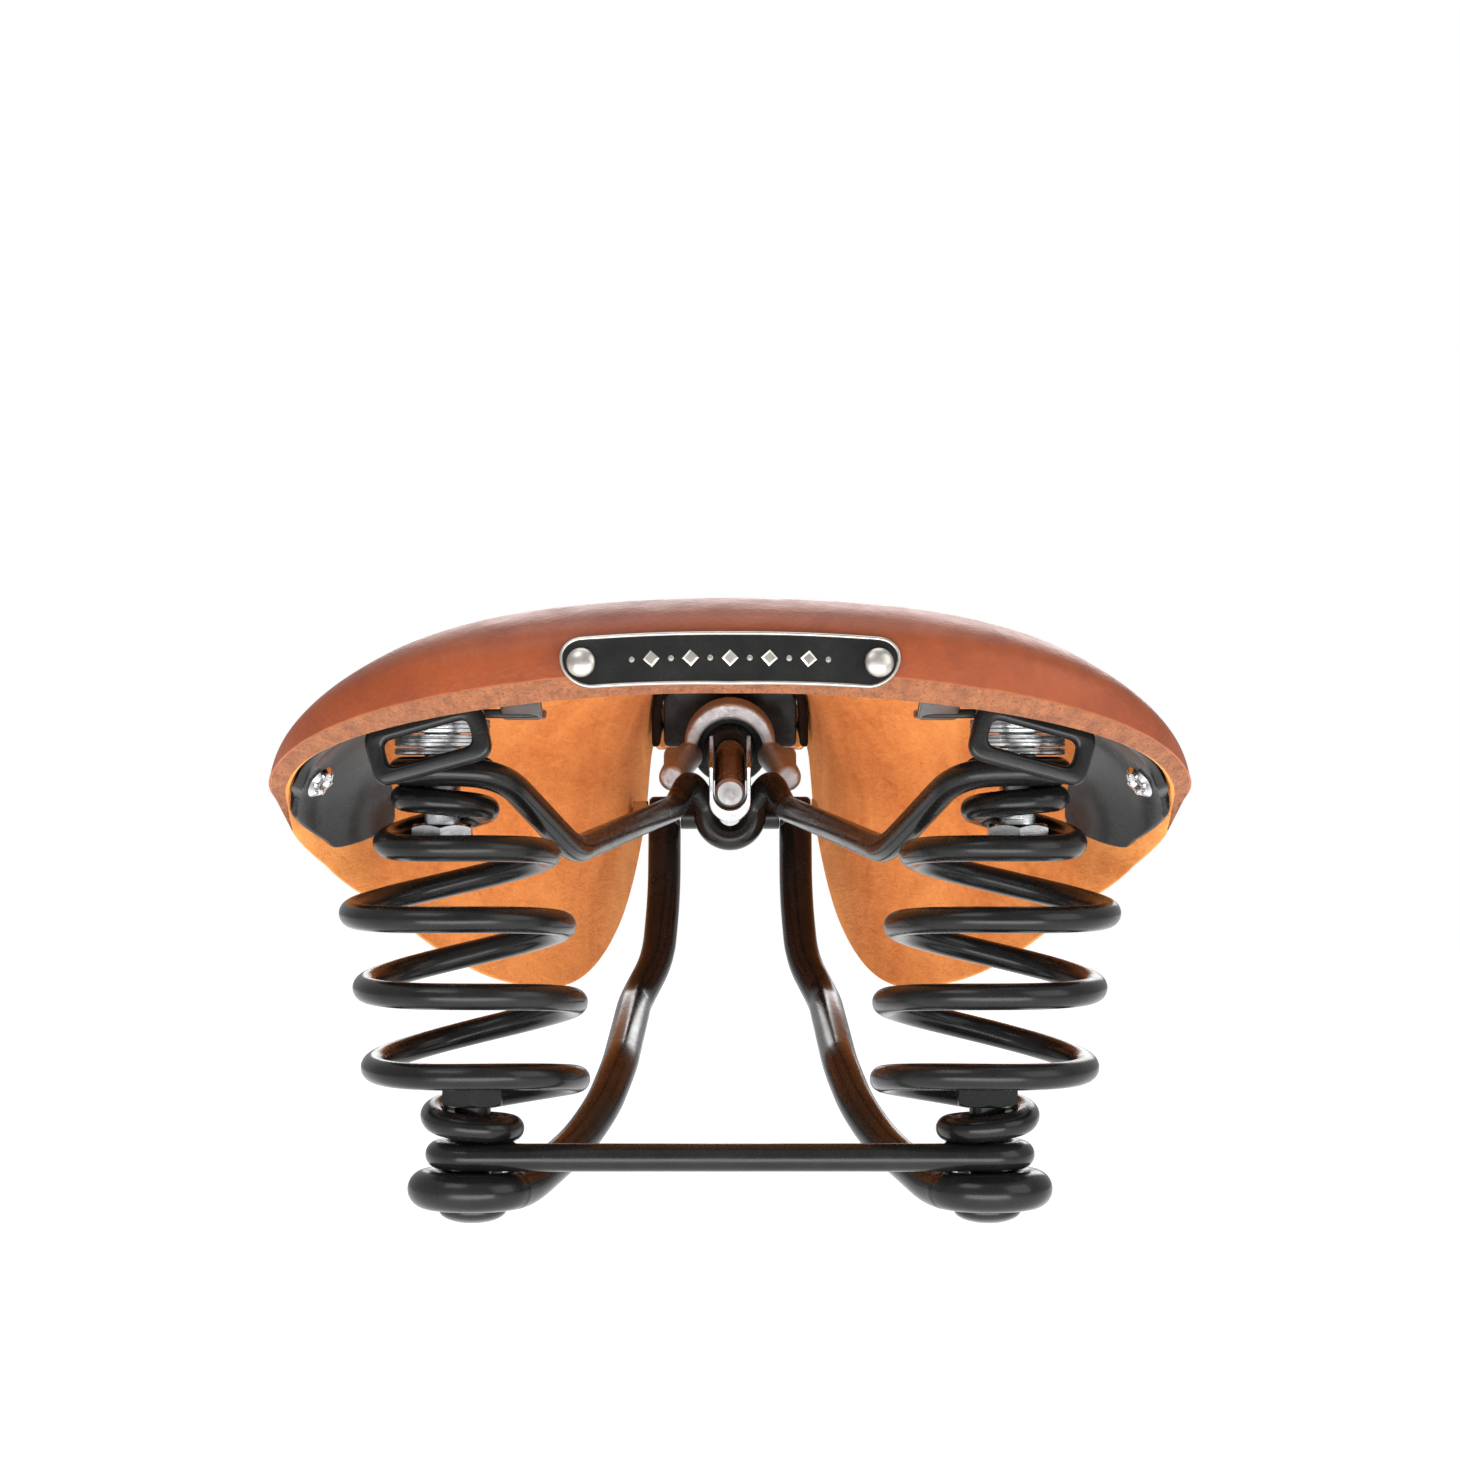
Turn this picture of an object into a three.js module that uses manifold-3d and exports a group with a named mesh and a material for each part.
// Sprung leather bicycle saddle: a leather top hung between a steel cantle plate and a nose piece,
// carried by a rod frame that is hinged to the seat rails at the nose and stands on two coil springs.
// Millimetres. +X is the rider's right, +Y points to the nose, +Z is up.
// The origin lies midway between the rails at the middle of their clamp section.

import * as THREE from 'three';
import { mergeVertices } from 'three/addons/utils/BufferGeometryUtils.js';
import Module from 'manifold-3d';

const wasm = await Module();
wasm.setup();

// ---------- driving dimensions ----------

const GAP = 0.3; // clearance between touching pieces
const LEATHER = 5; // leather thickness
const PLATE = 2; // pressed steel thickness
const SHEET_GAP = 1.4; // clearance between the leather and the curved plates under it

// The leather's right half, from the rear rim to the nose rim. Each station is a cubic curve across the
// saddle: crest on the centre line, shoulder handle, side handle, lower edge.
const STATIONS = [
  { crest: [0, -130, 82], shoulder: [42, -130, 83], side: [97, -118, 74], edge: [104, -80, 62] },
  { crest: [0, -128, 96], shoulder: [48, -127, 96], side: [108, -113, 88.5], edge: [102, -69, 54] },
  { crest: [0, -114, 101.8], shoulder: [55, -112, 101.3], side: [108, -98, 93.3], edge: [96, -56, 45] },
  { crest: [0, -90, 102.2], shoulder: [59, -88, 101.8], side: [103, -78, 94], edge: [87, -41, 35] },
  { crest: [0, -50, 100], shoulder: [61, -48, 100], side: [91, -40, 89], edge: [74, -15, 21.5] },
  { crest: [0, -5, 97.5], shoulder: [54, -4, 98], side: [70, 0, 80], edge: [59, 8, 12] },
  { crest: [0, 30, 97], shoulder: [38, 30, 97], side: [50, 31, 72], edge: [44, 34, 10] },
  { crest: [0, 60, 98.5], shoulder: [29, 60, 98], side: [37, 60, 78], edge: [34, 64, 22] },
  { crest: [0, 88, 100.5], shoulder: [25, 88, 100], side: [31, 88, 84], edge: [28, 90, 46] },
  { crest: [0, 110, 101], shoulder: [22, 110, 101], side: [28, 109, 90], edge: [25.5, 107, 69] },
  { crest: [0, 126, 96], shoulder: [17, 126, 96], side: [25, 120, 88], edge: [23, 118, 68.5] },
  { crest: [0, 130, 69], shoulder: [10, 130, 69], side: [18, 129, 68.5], edge: [20, 122, 68.5] },
];

const HINGE = { y: 74, z: 51.3, boltRadius: 2.5, spacerRadius: 3.4, eyeRadius: 5.2 };
const SPRING = { x: 57, y: -85, topX: 63.7, wire: 2.9, ring: 8.6, coil: 22.6 };
const RAIL = { radius: 4.25, eye: 10.2, eyeZ: -27.5 };
const CROSSBAR = { radius: 3.1, loop: 7.4, z: -19.9 };
const ROD = { radius: 3.22, eye: 8.8, eyeZ: 64.9 };
const M8 = { radius: 4, acrossFlats: 13 };
const TENSION = { y: 54, z: 57.6, tilt: THREE.MathUtils.degToRad(16.5) };
const SLOT = { x: 65.2, y: -100.8, z: 71.1, width: 20, height: 5.8, tilt: 14.8, swing: 12 };
const LOOP = { bar: 3.8, depth: 3, outerCorner: 3, slotCorner: 1.4 };
const RIVET_SHANK = 1.7;
const WING_RIVET = { u: 0.17, v: 0.83 };
const NOSE_RIVETS = { u: 0.86, across: [-0.72, -0.38, 0, 0.38, 0.72] };
const BADGE = { halfWidth: 35.5, low: 83.4, high: 94.2, thickness: 1.2, rivetX: 31 };

// ---------- materials ----------

const finish = (color, roughness, metalness) => new THREE.MeshStandardMaterial({ color, roughness, metalness });
const MATERIALS = {
  leather: finish(0xa8552d, 0.5, 0),
  enamel: finish(0x161616, 0.25, 0.1),
  zinc: finish(0xc9cccf, 0.3, 1),
  casting: finish(0xb4b6b8, 0.55, 1),
  badge: finish(0x111214, 0.3, 0.6),
  rivet: finish(0xa9a49a, 0.35, 1),
};

const saddle = new THREE.Group();

function add(name, geometry, material) {
  const mesh = new THREE.Mesh(geometry, MATERIALS[material]);
  mesh.name = name;
  saddle.add(mesh);
}

// ---------- closed solids, joins and cuts ----------

function weld(geometry) {
  const bare = geometry.clone();
  bare.deleteAttribute('normal');
  bare.deleteAttribute('uv');
  return mergeVertices(bare, 1e-4);
}

function toSolid(geometry) {
  const bare = weld(geometry);
  const triVerts = new Uint32Array(bare.index.array);
  const vertProperties = new Float32Array(bare.attributes.position.array);
  return new wasm.Manifold(new wasm.Mesh({ numProp: 3, vertProperties, triVerts }));
}

function toGeometry(solid) {
  const data = solid.getMesh();
  const geometry = new THREE.BufferGeometry();
  geometry.setAttribute('position', new THREE.BufferAttribute(data.vertProperties, 3));
  geometry.setIndex(new THREE.BufferAttribute(data.triVerts, 1));
  return geometry;
}

function join(...geometries) {
  return toGeometry(geometries.map(toSolid).reduce((a, b) => a.add(b)));
}

function cut(geometry, ...tools) {
  return toGeometry(tools.map(toSolid).reduce((a, b) => a.subtract(b), toSolid(geometry)));
}

// ---------- basic shapes ----------

const at = (x, y, z) => new THREE.Vector3(x, y, z);

// A rod's centre line through chosen stations, with a step at each one.
class RodLine extends THREE.Curve {
  constructor(stations) {
    super();
    this.stations = stations;
  }

  getPoint(t) {
    const place = t * (this.stations.length - 1);
    const index = Math.min(Math.floor(place + 1e-6), this.stations.length - 2);
    return this.stations[index].clone().lerp(this.stations[index + 1], place - index);
  }

  getPointAt(u) {
    return this.getPoint(u);
  }

  getTangentAt(u) {
    const last = this.stations.length - 1;
    const index = Math.round(u * last);
    const before = this.stations[Math.max(index - 1, 0)];
    const after = this.stations[Math.min(index + 1, last)];
    return after.clone().sub(before).normalize();
  }
}

function sweep(stations, radius, sides = 8) {
  const section = new THREE.Shape();
  const points = [];
  for (let i = 0; i < sides; i += 1) {
    const angle = (2 * Math.PI * (i + 0.5)) / sides;
    points.push(new THREE.Vector2(radius * Math.cos(angle), radius * Math.sin(angle)));
  }
  section.setFromPoints(points);
  const extrudePath = new RodLine(stations);
  return new THREE.ExtrudeGeometry(section, { steps: stations.length - 1, extrudePath, bevelEnabled: false });
}

// Straight stretches joined by bends. Each corner is [x, y, z, tangent length].
function bentLine(corners, side = 1, steps = 4) {
  const vertices = corners.map(([x, y, z]) => at(side * x, y, z));
  const stations = [vertices[0]];
  for (let i = 1; i < vertices.length - 1; i += 1) {
    const tangent = corners[i][3];
    const inward = vertices[i - 1].clone().sub(vertices[i]).setLength(tangent).add(vertices[i]);
    const outward = vertices[i + 1].clone().sub(vertices[i]).setLength(tangent).add(vertices[i]);
    const bend = new THREE.QuadraticBezierCurve3(inward, vertices[i], outward);
    stations.push(...bend.getPoints(steps));
  }
  stations.push(vertices.at(-1));
  return stations;
}

// A flat hook round a vertical axis, from one angle through a turn, both in degrees.
function hook(centre, radius, from, turn, steps = 11) {
  const stations = [];
  for (let i = 0; i <= steps; i += 1) {
    const angle = THREE.MathUtils.degToRad(from + (turn * i) / steps);
    stations.push(at(centre.x + radius * Math.cos(angle), centre.y + radius * Math.sin(angle), centre.z));
  }
  return stations;
}

// A turned piece on the Z axis from [radius, height] pairs, the first and last on the axis.
function turned(profile, segments = 12) {
  return new THREE.LatheGeometry(profile.map(([r, h]) => new THREE.Vector2(r, h)), segments).rotateX(Math.PI / 2);
}

function washer(inner, outer, low, high, segments = 14) {
  return turned([[inner, low], [outer, low], [outer, high], [inner, high], [inner, low]], segments);
}

function hexPrism(acrossFlats, low, high) {
  const corner = acrossFlats / Math.sqrt(3);
  const prism = new THREE.CylinderGeometry(corner, corner, high - low, 6);
  return prism.rotateY(Math.PI / 6).rotateX(Math.PI / 2).translate(0, 0, (low + high) / 2);
}

function hexNut(acrossFlats, bore, low, high) {
  const drill = new THREE.CylinderGeometry(bore, bore, high - low + 2, 12);
  return cut(hexPrism(acrossFlats, low, high), drill.rotateX(Math.PI / 2).translate(0, 0, (low + high) / 2));
}

function slab(lowX, highX, lowY, highY, lowZ, highZ) {
  const box = new THREE.BoxGeometry(highX - lowX, highY - lowY, highZ - lowZ);
  return box.translate((lowX + highX) / 2, (lowY + highY) / 2, (lowZ + highZ) / 2);
}

function crossPin(radius, fromX, toX, y, z, segments = 16) {
  const pin = new THREE.CylinderGeometry(radius, radius, Math.abs(toX - fromX), segments);
  return pin.rotateZ(Math.PI / 2).translate((fromX + toX) / 2, y, z);
}

// ---------- the leather surface ----------

const CONTROLS = ['crest', 'shoulder', 'side', 'edge'].map(
  (key) => new THREE.CatmullRomCurve3(STATIONS.map((station) => at(...station[key])), false, 'centripetal'),
);

// u runs from the rear rim (0) to the nose rim (1), v from the left edge (-1) to the right edge (1).
function surfacePoint(u, v) {
  const [p0, p1, p2, p3] = CONTROLS.map((curve) => curve.getPoint(Math.min(Math.max(u, 0), 1)));
  const point = new THREE.CubicBezierCurve3(p0, p1, p2, p3).getPoint(Math.abs(v));
  point.x *= Math.sign(v);
  return point;
}

// At the rim the normal is taken a little inside it, because the grid's corners are nearly straight there.
function surfaceNormal(u, v) {
  const step = 0.004;
  const inU = Math.min(Math.max(u, 0.05), 0.96);
  const inV = Math.min(Math.max(v, -0.93), 0.93);
  const along = surfacePoint(inU + step, inV).sub(surfacePoint(inU - step, inV));
  const across = surfacePoint(inU, inV + step).sub(surfacePoint(inU, inV - step));
  return across.cross(along).normalize();
}

// depth is measured inwards from the outer face.
function beneath(u, v, depth) {
  return surfacePoint(u, v).addScaledVector(surfaceNormal(u, v), -depth);
}

// A sheet that follows the leather between two depths. place(a, b) gives u and v for a, b in 0..1.
function sheet(place, top, bottom, stepsU, stepsV) {
  const box = weld(new THREE.BoxGeometry(1, 1, 1, stepsU, stepsV, 1));
  const position = box.attributes.position;
  for (let i = 0; i < position.count; i += 1) {
    const [u, v] = place(position.getX(i) + 0.5, position.getY(i) + 0.5);
    const point = beneath(u, v, position.getZ(i) > 0 ? top : bottom);
    position.setXYZ(i, point.x, point.y, point.z);
  }
  return flipped(box);
}

function flipped(geometry) {
  const index = geometry.index.array;
  for (let i = 0; i < index.length; i += 3) {
    [index[i], index[i + 1]] = [index[i + 1], index[i]];
  }
  return geometry;
}

// Finds where a rising function passes a target between two limits.
function solve(target, low, high, value) {
  for (let i = 0; i < 40; i += 1) {
    const middle = (low + high) / 2;
    if (value(middle) < target) {
      low = middle;
    } else {
      high = middle;
    }
  }
  return low;
}

// Stands a piece made on the Z axis on the leather's outer face, with +Z pointing away from it.
function standOn(geometry, u, v) {
  const turn = new THREE.Quaternion().setFromUnitVectors(at(0, 0, 1), surfaceNormal(u, v));
  const point = surfacePoint(u, v);
  return geometry.applyQuaternion(turn).translate(point.x, point.y, point.z);
}

// Stands a piece made along +Z, with +Y up, on the tension bolt's axis.
function alongBolt(geometry) {
  return geometry.rotateZ(Math.PI).rotateX(TENSION.tilt - Math.PI / 2).translate(0, TENSION.y, TENSION.z);
}

// ---------- lower frame: rails, crossbar, springs and their bolts ----------

function rail(side) {
  const eye = at(side * SPRING.x, SPRING.y, RAIL.eyeZ);
  const line = bentLine(
    [
      [17.2, HINGE.y, HINGE.z],
      [17.1, 60, 31, 8],
      [18.4, 47, 15.5, 6],
      [24, 33, 5.2, 5],
      [26, -33, -4.9, 5],
      [29.2, -49, -12.5, 5],
      [34.3, -60, -19.5, 6],
      [45.2, -84, RAIL.eyeZ, 5],
      [47.7, -89.3, RAIL.eyeZ],
    ],
    side,
    3,
  );
  const from = side > 0 ? 204.8 : -24.8;
  const loop = hook(eye, RAIL.eye, from, side * 272).slice(1);
  const frontEye = crossPin(HINGE.eyeRadius, side * 13.2, side * 21.2, HINGE.y, HINGE.z);
  const bore = crossPin(HINGE.boltRadius + GAP, side * 10, side * 25, HINGE.y, HINGE.z, 12);
  return cut(join(sweep([...line, ...loop], RAIL.radius), frontEye), bore);
}

function rearCrossbar() {
  const left = hook(at(-SPRING.x, SPRING.y, CROSSBAR.z), CROSSBAR.loop, 0, 270);
  const right = hook(at(SPRING.x, SPRING.y, CROSSBAR.z), CROSSBAR.loop, -90, 270);
  return sweep([...left, ...right], CROSSBAR.radius);
}

// Height of the wire and distance of the coil's axis from the middle, for turns -1 to 6.
const COIL = [
  [58.6, 63.7],
  [58.2, 63.7],
  [47.6, 63.4],
  [32.2, 60.3],
  [15.6, 57.5],
  [-1.7, 56.1],
  [-13.4, 57],
  [-13.4, 57],
];
const COIL_LEAN = { outward: 0.1157, forward: 0.038 };

// The wire opens from the top ring into the wide coils and closes again to the bottom ring.
function coilRadius(turn) {
  const ease = THREE.MathUtils.smoothstep;
  const widening = SPRING.coil - SPRING.ring;
  const loosened = 1.9;
  const opened = loosened * ease(turn, 0.1, 0.4) + (widening - loosened) * ease(turn, 0.6, 1.3);
  return SPRING.ring + opened - widening * ease(turn, 4.2, 4.8);
}

function spring(side) {
  const keys = new THREE.CatmullRomCurve3(COIL.map(([z, x]) => at(x, 0, z)), false, 'catmullrom', 0.5);
  const [firstTurn, lastTurn, stepsPerTurn] = [-0.4, 5.45, 12];
  const steps = Math.round((lastTurn - firstTurn) * stepsPerTurn);
  const stations = [];
  for (let i = 0; i <= steps; i += 1) {
    const turn = firstTurn + ((lastTurn - firstTurn) * i) / steps;
    const key = keys.getPoint((turn + 1) / (COIL.length - 1));
    const angle = 2 * Math.PI * turn - Math.PI / 2;
    const outward = -coilRadius(turn) * Math.cos(angle);
    const forward = coilRadius(turn) * Math.sin(angle);
    const lean = Math.max(0, Math.min(1, turn, 5 - turn));
    const height = key.z - lean * (COIL_LEAN.outward * outward + COIL_LEAN.forward * forward);
    stations.push(at(side * (key.x + outward), SPRING.y + forward, height));
  }
  return sweep(stations, SPRING.wire, 6);
}

function lowerBolt() {
  return turned([[0, -35.2], [2.4, -35.2], [5, -33.9], [7.4, -32], [M8.radius, -32], [M8.radius, -2.6], [0, -2.6]]);
}

function addLowerFrame() {
  for (const [name, side] of [['left', -1], ['right', 1]]) {
    const onSpring = (geometry) => geometry.translate(side * SPRING.x, SPRING.y, 0);
    add(`rail_${name}`, rail(side), 'enamel');
    add(`spring_${name}`, spring(side), 'enamel');
    add(`lower_bolt_${name}`, onSpring(lowerBolt()), 'enamel');
    add(`lower_nut_${name}`, onSpring(hexNut(M8.acrossFlats, M8.radius + GAP, -9.2, -3.6)), 'enamel');
    const spacer = washer(HINGE.boltRadius + GAP, HINGE.spacerRadius, 5.9, 12.9, 10);
    add(`hinge_spacer_${name}`, spacer.rotateY(side * Math.PI / 2).translate(0, HINGE.y, HINGE.z), 'enamel');
  }
  add('rear_crossbar', rearCrossbar(), 'enamel');
  const head = [[HINGE.boltRadius, 21.5], [4.6, 21.5], [4.6, 23.2], [0, 23.6]];
  const boltProfile = [[0, -25.8], [HINGE.boltRadius, -25.8], ...head];
  add('hinge_bolt', turned(boltProfile, 16).rotateY(Math.PI / 2).translate(0, HINGE.y, HINGE.z), 'zinc');
  const nut = hexNut(8, HINGE.boltRadius + GAP, -25.4, -21.5);
  add('hinge_nut', nut.rotateY(Math.PI / 2).translate(0, HINGE.y, HINGE.z), 'zinc');
}

// ---------- upper frame: rod, cantle plate, bag loops and their bolts ----------

function upperFrameRod() {
  const bottomRadius = 6.2;
  const bottomZ = 52;
  const half = (side) => bentLine(
    [
      [SPRING.topX, SPRING.y - ROD.eye, ROD.eyeZ],
      [50.3, SPRING.y - ROD.eye + 1, ROD.eyeZ - 0.3, 8],
      [35.6, -60, 46.4, 6],
      [14, 52, 54.1, 4],
      [10.6, 61, 61.6, 5],
      [bottomRadius, 64.5, bottomZ + 2.5, 2],
      [bottomRadius, 64.5, bottomZ],
    ],
    side,
    3,
  );
  const bottom = [];
  for (let i = 1; i < 8; i += 1) {
    const angle = Math.PI + (Math.PI * i) / 8;
    bottom.push(at(bottomRadius * Math.cos(angle), 64.5, bottomZ + bottomRadius * Math.sin(angle)));
  }
  const leftHook = hook(at(-SPRING.topX, SPRING.y, ROD.eyeZ), ROD.eye, 0, 270).slice(0, -1);
  const rightHook = hook(at(SPRING.topX, SPRING.y, ROD.eyeZ), ROD.eye, -90, 270).slice(1);
  return sweep([...leftHook, ...half(-1), ...bottom, ...half(1).reverse(), ...rightHook], ROD.radius);
}

// A narrow band along the rear that widens into a rounded tongue down each wing.
function cantlePlate() {
  const rise = (from, to, x) => THREE.MathUtils.smoothstep(x, from, to);
  const place = (a, b) => {
    const across = 2 * b - 1;
    const outward = Math.abs(across);
    const rounding = Math.max(0, (outward - 0.87) / 0.13) ** 2;
    const reach = 0.14 + 0.18 * rise(0.55, 0.85, outward) - 0.12 * rounding;
    const u = 0.012 + a * (reach - 0.012);
    return [u, across * 0.95];
  };
  const shell = sheet(place, LEATHER + SHEET_GAP, LEATHER + SHEET_GAP + PLATE, 6, 26);
  const parts = [shell];
  const drills = [];
  for (const side of [-1, 1]) {
    const [lugEnd, strapEnd] = [side * (SPRING.topX + 11), side * 41];
    parts.push(slab(Math.min(lugEnd, strapEnd), Math.max(lugEnd, strapEnd), -97, -74, 76.6, 76.6 + PLATE));
    const strap = slab(-4.5, 4.5, -11.5, 15, 0, PLATE).rotateX(THREE.MathUtils.degToRad(-16));
    parts.push(strap.translate(side * 45.5, -107.5, 80.2));
    const drill = new THREE.CylinderGeometry(M8.radius + GAP, M8.radius + GAP, 8, 16).rotateX(Math.PI / 2);
    drills.push(drill.translate(side * SPRING.topX, SPRING.y, 77));
  }
  return cut(join(...parts), ...drills);
}

function bagLoop(side) {
  const roundRect = (target, width, height, radius) => {
    const [x, y] = [width / 2, height / 2];
    target.moveTo(-x + radius, -y).lineTo(x - radius, -y);
    target.absarc(x - radius, -y + radius, radius, -Math.PI / 2, 0).lineTo(x, y - radius);
    target.absarc(x - radius, y - radius, radius, 0, Math.PI / 2).lineTo(-x + radius, y);
    target.absarc(-x + radius, y - radius, radius, Math.PI / 2, Math.PI).lineTo(-x, -y + radius);
    target.absarc(-x + radius, -y + radius, radius, Math.PI, 1.5 * Math.PI);
    return target;
  };
  const outline = roundRect(new THREE.Shape(), SLOT.width + 2 * LOOP.bar, SLOT.height + 2 * LOOP.bar, LOOP.outerCorner);
  outline.holes.push(roundRect(new THREE.Path(), SLOT.width, SLOT.height, LOOP.slotCorner));
  const loop = new THREE.ExtrudeGeometry(outline, { depth: LOOP.depth, bevelEnabled: false, curveSegments: 3 });
  loop.rotateX(Math.PI / 2).rotateY(side * THREE.MathUtils.degToRad(SLOT.tilt));
  loop.rotateZ(side * THREE.MathUtils.degToRad(SLOT.swing));
  return loop.translate(side * SLOT.x, SLOT.y, SLOT.z);
}

function upperBolt() {
  const shank = turned([[0, 47.2], [M8.radius, 47.2], [M8.radius, 80], [0, 80]], 16);
  return join(shank, hexPrism(M8.acrossFlats, 78.9, 83.4));
}

function addUpperFrame() {
  for (const [name, side] of [['left', -1], ['right', 1]]) {
    const onSpring = (geometry) => geometry.translate(side * SPRING.topX, SPRING.y, 0);
    const bore = M8.radius + GAP;
    add(`upper_bolt_${name}`, onSpring(upperBolt()), 'zinc');
    add(`upper_nut_${name}`, onSpring(hexNut(M8.acrossFlats, bore, 47.7, 53.2)), 'zinc');
    add(`upper_washer_${name}`, onSpring(washer(bore, 10.6, 68.5, 70)), 'zinc');
    add(`upper_spacer_${name}`, onSpring(washer(bore, 10.6, 70.3, 73)), 'zinc');
    add(`upper_clamp_disc_${name}`, onSpring(washer(bore, 10.6, 73.3, 76.3)), 'zinc');
    add(`bag_loop_${name}`, bagLoop(side), 'enamel');
  }
  add('upper_frame_rod', upperFrameRod(), 'enamel');
}

// ---------- nose: shackle, bracket, tension bolt, nut and nose piece ----------

function shackle() {
  const [inner, outer, top] = [M8.radius + GAP, 5.4, 7.4];
  const outline = new THREE.Shape();
  outline.moveTo(inner, top).lineTo(inner, 0);
  outline.absarc(0, 0, inner, 0, -Math.PI, true).lineTo(-inner, top).lineTo(-outer, top).lineTo(-outer, -2);
  outline.absarc(0, -2, outer, Math.PI, 2 * Math.PI, false).lineTo(outer, top);
  const strap = new THREE.ExtrudeGeometry(outline, { depth: 5, bevelEnabled: false, curveSegments: 8 });
  const parts = [strap.translate(0, 0, -1)];
  const drills = [];
  const [pivotUp, pivotAlong] = [-11.73, 17.39];
  for (const side of [-1, 1]) {
    const [low, high] = side > 0 ? [inner, outer] : [-outer, -inner];
    parts.push(slab(low, high, -1, top, 3.5, 29));
    parts.push(slab(low, high, pivotUp, 0, pivotAlong - 4, pivotAlong + 4));
    parts.push(crossPin(5.4, low, high, pivotUp, pivotAlong));
    drills.push(crossPin(HINGE.spacerRadius + GAP, low - 1, high + 1, pivotUp, pivotAlong));
  }
  return alongBolt(cut(join(...parts), ...drills));
}

function noseBracket() {
  const [outer, inner] = [12.1, 8.8];
  const outline = new THREE.Shape();
  outline.moveTo(outer, -4).lineTo(outer, 2.3);
  outline.absarc(0, 2.3, outer, 0, Math.PI, false).lineTo(-outer, -4).lineTo(-inner, -4).lineTo(-inner, 1);
  outline.absarc(0, 1, inner, Math.PI, 0, true).lineTo(inner, -4);
  const arch = new THREE.ExtrudeGeometry(outline, { depth: 7, bevelEnabled: false, curveSegments: 10 });
  const parts = [alongBolt(arch.translate(0, 0, 34))];
  for (const side of [-1, 1]) {
    parts.push(sweep(bentLine([[10.6, 89, 67.5], [13, 81, 65, 3], [15.3, 70.5, 61]], side), 3.8));
    parts.push(crossPin(3.8, side * 12, side * 17.5, 84, 65.5));
  }
  return join(...parts);
}

function tensionBolt() {
  const shank = turned([[0, 0], [3.4, 0], [M8.radius, 0.7], [M8.radius, 57], [0, 57]], 16);
  return alongBolt(join(shank, hexPrism(M8.acrossFlats, 55.8, 61)));
}

function tensionNut() {
  const collar = turned([[0, 35], [6.6, 35], [6.6, 41.3], [10.4, 41.3], [10.4, 43.5], [0, 43.5]], 24);
  const drill = new THREE.CylinderGeometry(M8.radius + GAP, M8.radius + GAP, 30, 16).rotateX(Math.PI / 2);
  return alongBolt(cut(join(collar, hexPrism(14, 43.2, 50)), drill.translate(0, 0, 43)));
}

function nosePiece() {
  const place = (a, b) => [0.79 + 0.14 * a, (2 * b - 1) * 0.93];
  const shell = sheet(place, LEATHER + SHEET_GAP, LEATHER + SHEET_GAP + PLATE, 4, 12);
  const outline = new THREE.Shape();
  outline.moveTo(-18, -3.5).lineTo(18, -3.5).lineTo(18, 10).lineTo(12, 19).lineTo(-12, 19).lineTo(-18, 10);
  outline.closePath();
  const wall = new THREE.ExtrudeGeometry(outline, { depth: 2.5, bevelEnabled: false });
  const drill = new THREE.CylinderGeometry(M8.radius + GAP, M8.radius + GAP, 10, 16).rotateX(Math.PI / 2);
  return cut(join(shell, alongBolt(wall.translate(0, 0, 53))), alongBolt(drill.translate(0, 0, 54)));
}

// ---------- leather, badge and rivets ----------

// A rivet through the leather and the plate behind it: domed head outside, clinched flange inside.
function rivet(headRadius, headHeight, headBase, flangeRadius) {
  const back = -(LEATHER + SHEET_GAP + PLATE + 0.7);
  return turned(
    [
      [0, back - 1.2],
      [flangeRadius, back - 0.8],
      [flangeRadius, back],
      [RIVET_SHANK, back],
      [RIVET_SHANK, headBase],
      [headRadius, headBase],
      [headRadius * 0.7, headBase + headHeight * 0.8],
      [0, headBase + headHeight],
    ],
    8,
  );
}

function rivetHole(u, v) {
  const drill = new THREE.CylinderGeometry(RIVET_SHANK + GAP, RIVET_SHANK + GAP, 24, 8).rotateX(Math.PI / 2);
  return standOn(drill.translate(0, 0, -4), u, v);
}

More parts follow.
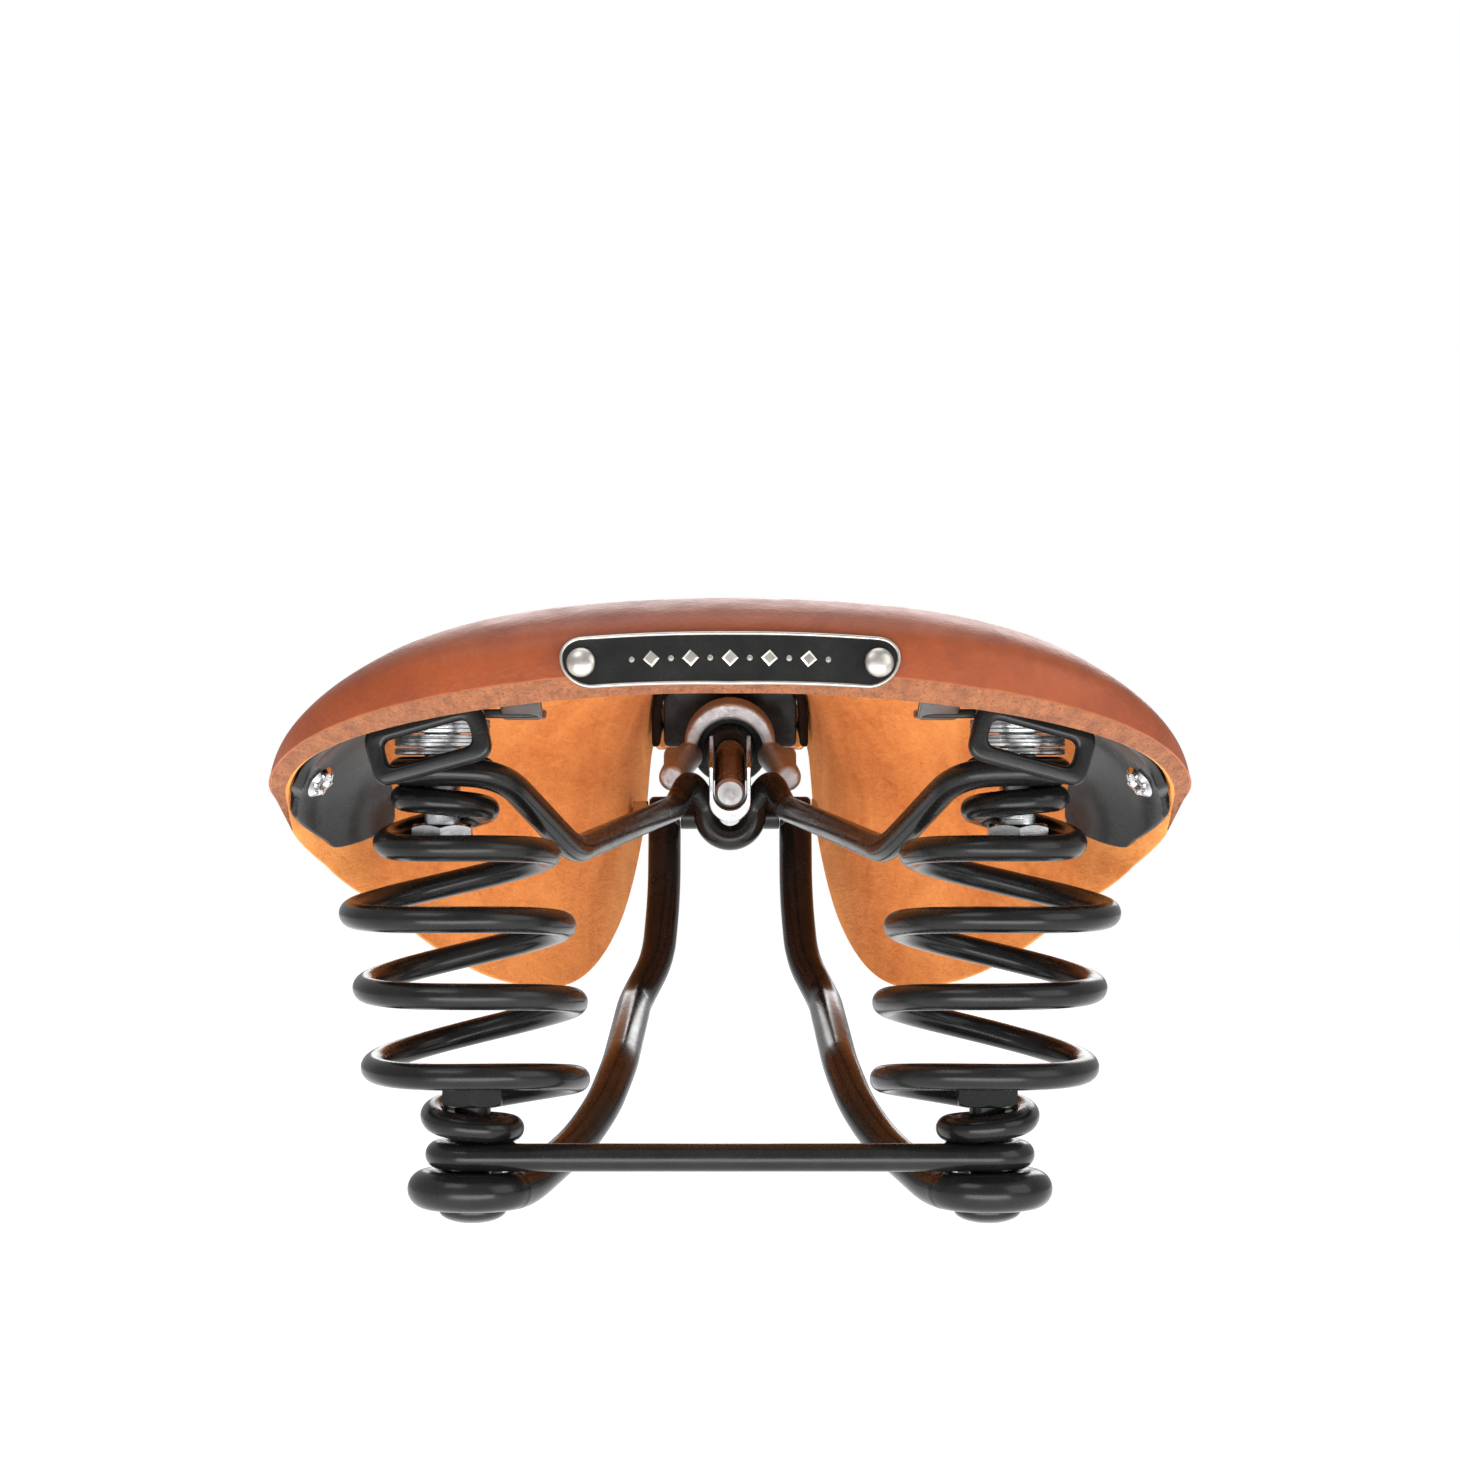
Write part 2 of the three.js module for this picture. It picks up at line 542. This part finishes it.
function addLeatherAndRivets() {
  const badgeLow = solve(BADGE.low, 0, 0.15, (u) => surfacePoint(u, 0).z);
  const badgeHigh = solve(BADGE.high, 0, 0.15, (u) => surfacePoint(u, 0).z);
  const badgeU = (badgeLow + badgeHigh) / 2;
  const acrossAt = (x) => solve(x, 0, 0.9, (v) => surfacePoint(badgeU, v).x);
  const badgeEnd = acrossAt(BADGE.halfWidth);
  const badgePlace = (a, b) => {
    const across = 2 * b - 1;
    const roundEnd = Math.sqrt(1 - 0.9 * Math.max(0, (Math.abs(across) - 0.86) / 0.14) ** 2);
    return [badgeU + (a - 0.5) * (badgeHigh - badgeLow) * roundEnd, across * badgeEnd];
  };

  const rivetV = acrossAt(BADGE.rivetX);
  const badgeRivets = { badge_rivet_left: [badgeU, -rivetV], badge_rivet_right: [badgeU, rivetV] };
  const wingRivets = { wing_rivet_left: [WING_RIVET.u, -WING_RIVET.v], wing_rivet_right: [WING_RIVET.u, WING_RIVET.v] };
  const noseRivets = {};
  NOSE_RIVETS.across.forEach((v, i) => {
    noseRivets[`nose_rivet_${i + 1}`] = [NOSE_RIVETS.u, v];
  });

  const drillsIn = (rivets) => Object.values(rivets).map(([u, v]) => rivetHole(u, v));
  const leather = sheet((a, b) => [a, 2 * b - 1], 0, LEATHER, 24, 28);
  const badge = sheet(badgePlace, -GAP - BADGE.thickness, -GAP, 2, 14);
  const rearDrills = [...drillsIn(badgeRivets), ...drillsIn(wingRivets)];
  const noseDrills = drillsIn(noseRivets);
  add('leather_cover', cut(leather, ...rearDrills, ...noseDrills), 'leather');
  add('badge_plate', cut(badge, ...drillsIn(badgeRivets)), 'badge');
  add('cantle_plate', cut(cantlePlate(), ...rearDrills), 'enamel');
  add('nose_piece', cut(nosePiece(), ...noseDrills), 'enamel');
  for (const [name, [u, v]] of Object.entries(badgeRivets)) {
    add(name, standOn(rivet(3.2, 1.7, BADGE.thickness + 2 * GAP, 2.8), u, v), 'rivet');
  }
  for (const [name, [u, v]] of Object.entries({ ...wingRivets, ...noseRivets })) {
    add(name, standOn(rivet(4.2, name.startsWith('wing') ? 0.6 : 1.6, GAP, 2.4), u, v), 'rivet');
  }
}

addLowerFrame();
addUpperFrame();
addLeatherAndRivets();
add('shackle', shackle(), 'zinc');
add('nose_bracket', noseBracket(), 'casting');
add('tension_bolt', tensionBolt(), 'zinc');
add('tension_nut', tensionNut(), 'enamel');

export default saddle;
